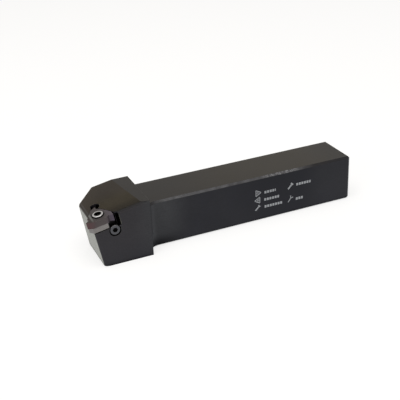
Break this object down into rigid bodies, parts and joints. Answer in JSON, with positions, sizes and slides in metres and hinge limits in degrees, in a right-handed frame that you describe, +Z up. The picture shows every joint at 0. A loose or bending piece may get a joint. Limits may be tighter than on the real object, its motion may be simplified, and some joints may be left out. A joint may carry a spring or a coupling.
{
  "type": "external threading tool holder",
  "caption": "Square-shank lathe tool holder with a sloped head, holding a lay-down threading insert on a carbide shim with screws.",
  "frame": {"origin": "centre of the shank's bottom face, halfway along the plain shank", "axes": "+X towards the shank's rear end, with the insert at -X; the cutting side faces -Y; +Z up, with the cutting edge facing up"},
  "size_m": [0.1499, 0.032, 0.03],
  "materials": {
    "holder_steel": "blackened steel, satin",
    "coated_carbide": "thin hard coating, brown violet, satin",
    "bare_carbide": "ground, satin",
    "screw_steel": "machined steel, fairly bright"
  },
  "bodies": {
    "root": {"holder_body": "holder_steel", "threading_insert": "coated_carbide", "shim": "bare_carbide", "insert_screw": "screw_steel", "shim_screw": "screw_steel"}
  },
  "joints": []
}
